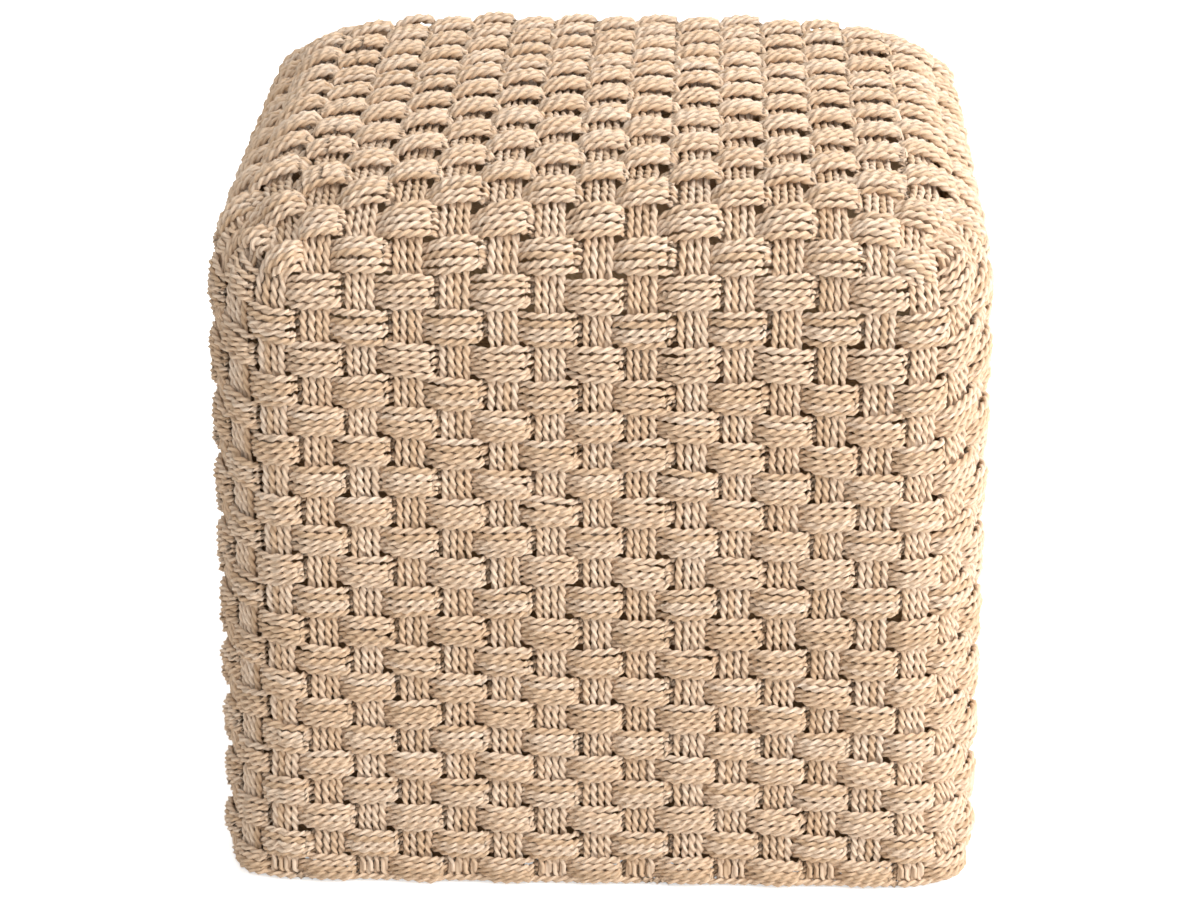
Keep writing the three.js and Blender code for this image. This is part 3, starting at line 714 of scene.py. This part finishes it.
def top_place(x, y, feel=0.0006):
    """Point and outward direction on the top."""
    x, y = np.broadcast_arrays(np.asarray(x, float), np.asarray(y, float))
    slope_x = (top_height(x + feel, y) - top_height(x - feel, y)) / (2 * feel)
    slope_y = (top_height(x, y + feel) - top_height(x, y - feel)) / (2 * feel)
    outward = np.stack([-slope_x, -slope_y, np.ones_like(x)], -1)
    outward /= np.linalg.norm(outward, axis=-1, keepdims=True)
    return np.stack([x, y, top_height(x, y)], -1), outward


def row_across(row):
    """How far back a row lies on the top, from the front's middle to the back's."""
    row = np.asarray(row, float)
    away = half - level(climb_of(np.minimum(row, row_spans - row)))[0]
    return np.where(row < row_spans / 2, -away, away)


def outer_column(across):
    """Distance from the middle of the outermost column, which draws in over the rounded corners."""
    return outer_distance - outer_draw_in * eased(np.abs(across), *draw_in_span)


def column_cords(k, seed):
    """The four cords of a column from the front's hem over the top to the back's."""
    rng = np.random.default_rng(seed)
    behind = 2 * face_columns - k
    rows = stops_along(stake_start, row_spans - stake_start, k + 1, *stake_steps)
    cords = []
    for place in stake_places:
        lateral = place * stake_cord_pitch + sway(rows * row_step, rng, stake_sway_across)
        depth = stake_depth + stake_wave * np.cos(math.pi * (rows - k))
        depth += sway(rows * row_step, rng, stake_sway_depth)
        front = rows <= ring_count - 0.5
        back = rows >= row_spans - ring_count + 0.5
        over = ~front & ~back
        across = row_across(rows[over])
        outermost = abs(k) > even_columns
        away = np.sign(k) * outer_column(across) if outermost else np.full(len(across), across_top(k))
        point, normal = top_place(away + lateral[over], across)
        parts = [stake_foot(k, lateral[0], depth[0]),
                 stake_climb(k, lateral[front], rows[front], depth[front]),
                 point - normal * depth[over][:, None],
                 stake_climb(behind, -lateral[back], row_spans - rows[back], depth[back]),
                 stake_foot(behind, -lateral[-1], depth[-1])[::-1]]
        cords.append((np.concatenate(parts), False))
    return cords


groups = {"left_columns": range(-6, 0), "right_columns": range(1, 7),
          "middle_and_outer_columns": (-7, 0, 7)}
for name, members in groups.items():
    columns = [cord for k in members for cord in column_cords(k, column_seed + k)]
    if 0 in members:
        columns += hem_bar(0) + hem_bar(2)
    rope_piece(name, columns, ["front_and_back_stakes"])

# Rings: bundles of five cords woven round the four sides, over one stake and behind the next.
# Each float rises slowly at its left end, swells, and dives steeply at its right one. One more
# cord runs round the hem under the first ring.
weft_cord_places = range(-2, 3)
weft_cord_pitch = 0.00395
weft_front = 0.0012
weft_behind = 0.0100
weft_crown = 0.0015
# The share of its width that a bundle loses at the left and right end of a float. Its spans run
# in columns from the float's middle.
left_pinch = 0.15
left_pinch_span = (-0.8, -0.2)
right_pinch = 0.11
right_pinch_span = (0.25, 0.70)
rise_span = (-0.84, -0.26)
dive_span = (0.42, 0.74)
swell_middle = 0.15
# Mean and spread of the height of a float's right end over its middle, and how its single cords
# stray from that. Then the size, shortest and longest wave of how cords and rings sway.
weft_slant = (0.0008, 0.0006)
slant_stray = 0.0007
depth_stray = 0.00035
weft_sway_across = (0.00045, 0.02, 0.07)
weft_sway_depth = 0.0003
ring_wander = (0.0006, 0.06, 0.2)
# Half the length of a float, in columns, and the steps along it and along what lies behind.
weft_steps = (0.7, 17, 2)
# Height of a wave round the sides, how many fit there, and its turn from row to row.
ring_waves = ((0.0009, 3, 0.6), (0.0006, 9, -0.4))
ring_seed = 3000
closing_gap = 0.01
lowest_cord = 0.6 * cord_diameter
hem_cord_depth = 0.0046
hem_cord_steps = 560
# The first and last few top rows end behind the last ring, and the rows between cross over it on
# the sides. It has a crossing at each of those, and these ones more towards each corner.
outer_rows = 3
corner_crossings = np.array([6.65, 7.3, 8])
flat_span = (9, 9.8)


def weft_cord(place, phase, rng, run, slant, swell=0.0009):
    """Lateral shift and depth of a row's cord along its run. The row floats at each even phase."""
    outer = (place / 2) ** 2
    near = (phase + 1) % 2 - 1
    which = np.round(phase / 2).astype(int)
    stray = rng.normal(0, slant_stray, len(slant))
    loose = rng.normal(0, depth_stray, len(slant))
    spread = 1 - left_pinch * (1 - eased(near, *left_pinch_span))
    spread -= right_pinch * eased(near, *right_pinch_span)
    lateral = place * weft_cord_pitch * spread + (slant[which] + stray[which]) * near
    lateral += sway(run, rng, *weft_sway_across)
    lift = eased(near, *rise_span) * (1 - eased(near, *dive_span))
    depth = weft_behind - (weft_behind - weft_front) * lift
    depth -= swell * lift * np.cos(math.pi * (near - swell_middle))
    depth += weft_crown * outer * lift + loose[which] * lift + sway(run, rng, weft_sway_depth)
    return lateral, depth


def ring_crossings(row):
    """The columns where a ring crosses something, once round from a float to the same one."""
    if row < ring_count - 1:
        return np.arange(4 * face_columns + 1.0) - corner_column + row % 2
    front = np.arange(-corner_column, corner_column + 1.0)
    crossed = np.arange(ring_count + outer_rows, row_spans - ring_count - outer_rows + 1)
    middle = row_across(crossed) / column_pitch
    side = np.concatenate([-corner_crossings[::-1], middle, corner_crossings])
    faces = [front, face_columns + side[1:], 2 * face_columns + front[1:], 3 * face_columns + side[1:]]
    return np.concatenate(faces)


def ring_cords(row):
    """The five closed cords of a ring. The last ring lies flat under the top rows on the sides."""
    rng = np.random.default_rng(ring_seed + row)
    crossings = ring_crossings(row)
    phase = stops_along(0, len(crossings) - 1 - closing_gap, 0, *weft_steps)
    columns = np.interp(phase, np.arange(len(crossings)), crossings)
    run = columns * column_pitch
    slant = rng.normal(*weft_slant, len(crossings))
    round_way = columns * 2 * math.pi / (4 * face_columns)
    drift = sum(size * np.sin(count * round_way + turn * row) for size, count, turn in ring_waves)
    under = np.interp(off_front(columns), flat_span, [0, 1]) * (row == ring_count - 1)
    wander = sway(run, rng, *ring_wander) * min(1, row)
    flat_depth = stake_depth - stake_wave * np.cos(math.pi * phase)
    cords = []
    for place in weft_cord_places:
        lateral, depth = weft_cord(place, phase, rng, run, slant)
        depth = depth + (flat_depth - depth) * under
        height = climb_of(row + (lateral + wander + drift) / row_step, side_share(columns))
        point, normal = side_place(columns, np.maximum(height, lowest_cord))
        cords.append((point - normal * depth[:, None], True))
    return cords


def hem_cord():
    """A single cord round the base, which holds the stakes where they turn in."""
    columns = np.linspace(0, 4 * face_columns, hem_cord_steps, endpoint=False)
    point, normal = side_place(columns, np.full(len(columns), hem_lift + cord_diameter / 2))
    return point - normal * hem_cord_depth, True


for row in range(ring_count):
    cords = ring_cords(row) + ([hem_cord()] if row == 0 else [])
    rope_piece(f"rope_ring_{row + 1:02d}", cords, [f"weft_row_{row + 1:02d}"])

# Top rows: the same bundles woven across the columns from one side rounding to the other. Their
# ends run on over the last ring and are tucked down behind the one below. Those of the outer rows
# are tucked behind the last ring.
tuck_run = 0.009
tuck_depth = 0.0145
top_swell = 0.0024
top_thickness = 1.07
top_wander = (0.0005, 0.06, 0.2)
top_row_seed = 5000
front_rows = 12
# Places along the ends of a row, in columns from its middle, and where its cords fan out.
row_middle = 6.4
row_ends = np.concatenate([np.arange(6.48, 7, 0.085), np.arange(7, 8.25, 0.061), [8.35, 8.5, 8.6]])
fan = 0.2
fan_span = (6.9, 7.4)
# Just beyond the outermost column nothing lies in front of a row that has passed behind it. There
# it stays this far in front of the stakes, until the last ring covers it.
bare_rise = 0.0015
bare_span = (7.1, 7.4)
covered_span = (7.9, 8.2)
# Where an outer row passes the last even column and the outermost one and comes to its end, and
# the row of the side that it ends at.
outer_ends = (6, 7, 8.5)
outer_overhang = 0.034
outer_end_row = ring_count - 0.9
outer_tail = 0.003
# Where a middle row passes the same columns and the last ring and comes to its end, and the rows
# of the side that it has come down to at the last two.
middle_ends = np.array([6, 7, 8, 8.6])
middle_end_rows = (ring_count - 1, ring_count - 1.8)
middle_tuck_row = ring_count - 1.6


def side_reach(climb, across):
    """How far out the surface lies at a length climbed up it, at a distance back."""
    inset = level(climb)[0]
    radius = outline_radius(inset)
    flat = half - inset - radius
    return flat + np.sqrt(np.maximum(radius ** 2 - np.maximum(np.abs(across) - flat, 0) ** 2, 0))


def climb_at(x, y):
    """Length climbed up the surface to a place on the top."""
    inset = top_inset(np.asarray(x, float), np.asarray(y, float))
    lean = np.arccos(np.clip(1 - inset / edge_radius, 0, 1))
    return shoulder + edge_radius * lean + np.maximum(inset - edge_radius, 0)


def outer_row_path(places, across, row):
    """A row near the front or back: level over the top, and tucked behind the last ring.

    Gives its way over the surface, how far it is tucked in, the stops it keeps and where it is bare."""
    outer = outer_column(across[0])
    reached = [across_top(even_columns), outer, outer + outer_overhang]
    beyond = np.interp(np.abs(places), outer_ends, reached) * np.sign(places)
    away = np.where(np.abs(places) < even_columns, across_top(places), beyond)
    round_corner = (min(row, row_spans - row) - ring_count) / (outer_rows - 1)
    end = climb_of(outer_end_row, round_corner)
    climb = climb_at(away, across)
    bare = eased(np.abs(places), *bare_span) * min(1, 2 * round_corner)
    tucked = np.clip(1 - (climb - end) / tuck_run, 0, 1)
    return top_place(away, across), tucked, climb > end - outer_tail, bare


def middle_row_path(places, across, row):
    """A row between, with the same results. It ends over the last ring and behind the one below."""
    start = climb_at(np.full_like(across, across_top(even_columns)), across)
    outer = climb_at(outer_column(across), across)
    climbs = [start, outer, *(np.full_like(start, climb_of(passed, 1)) for passed in middle_end_rows)]
    span = np.clip(np.searchsorted(middle_ends, np.abs(places), side="right") - 1, 0, 2)
    share = (np.abs(places) - middle_ends[span]) / (middle_ends[span + 1] - middle_ends[span])
    climb = np.choose(span, climbs[:3]) * (1 - share) + np.choose(span, climbs[1:]) * share
    over = np.abs(places) <= even_columns
    away = np.where(over, across_top(places), np.sign(places) * side_reach(climb, across))
    point, normal = top_place(away, across)
    lean, z = level(climb)[1:]
    side_point = np.stack([away, across, z], -1)
    side_normal = np.stack([np.sign(places) * np.cos(lean), 0 * away, np.sin(lean)], -1)
    point = np.where(over[:, None], point, side_point)
    normal = np.where(over[:, None], normal, side_normal)
    tucked = np.clip(1 - (climb - climb_of(middle_tuck_row, 1)) / tuck_run, 0, 1)
    bare = eased(np.abs(places), *bare_span) * (1 - row % 2)
    bare *= 1 - eased(np.abs(places), *covered_span)
    return (point, normal), tucked, np.ones(len(places), bool), bare


def top_row_cords(row):
    """The five cords of a row over the top."""
    rng = np.random.default_rng(top_row_seed + row)
    places = stops_along(-row_middle, row_middle, row, *weft_steps)
    places = np.concatenate([-row_ends[::-1], places, row_ends])
    phase = places - row % 2 + face_columns
    run = places * column_pitch
    slant = rng.normal(*weft_slant, 2 * face_columns)
    middle = ring_count + outer_rows <= row <= row_spans - ring_count - outer_rows
    path = middle_row_path if middle else outer_row_path
    wander = sway(run, rng, *top_wander)
    cords = []
    for place in weft_cord_places:
        lateral, depth = weft_cord(place, phase, rng, run, slant, top_swell)
        lateral *= 1 + fan * eased(np.abs(places), *fan_span)
        across = row_across(row + (lateral + wander) / row_step)
        (point, normal), tucked, kept, bare = path(places, across, row)
        depth -= np.maximum(0, depth - stake_depth + bare_rise) * bare
        depth += (tuck_depth - depth) * eased(tucked, 0, 1)
        cords.append(((point - normal * depth[:, None])[kept], False))
    return cords


top_rows = range(ring_count, row_spans - ring_count + 1)
halves = {"front_top_rows": top_rows[:front_rows], "back_top_rows": top_rows[front_rows:]}
for name, rows in halves.items():
    woven = [cord for row in rows for cord in top_row_cords(row)]
    rope_piece(name, woven, ["top_rows"], top_thickness)
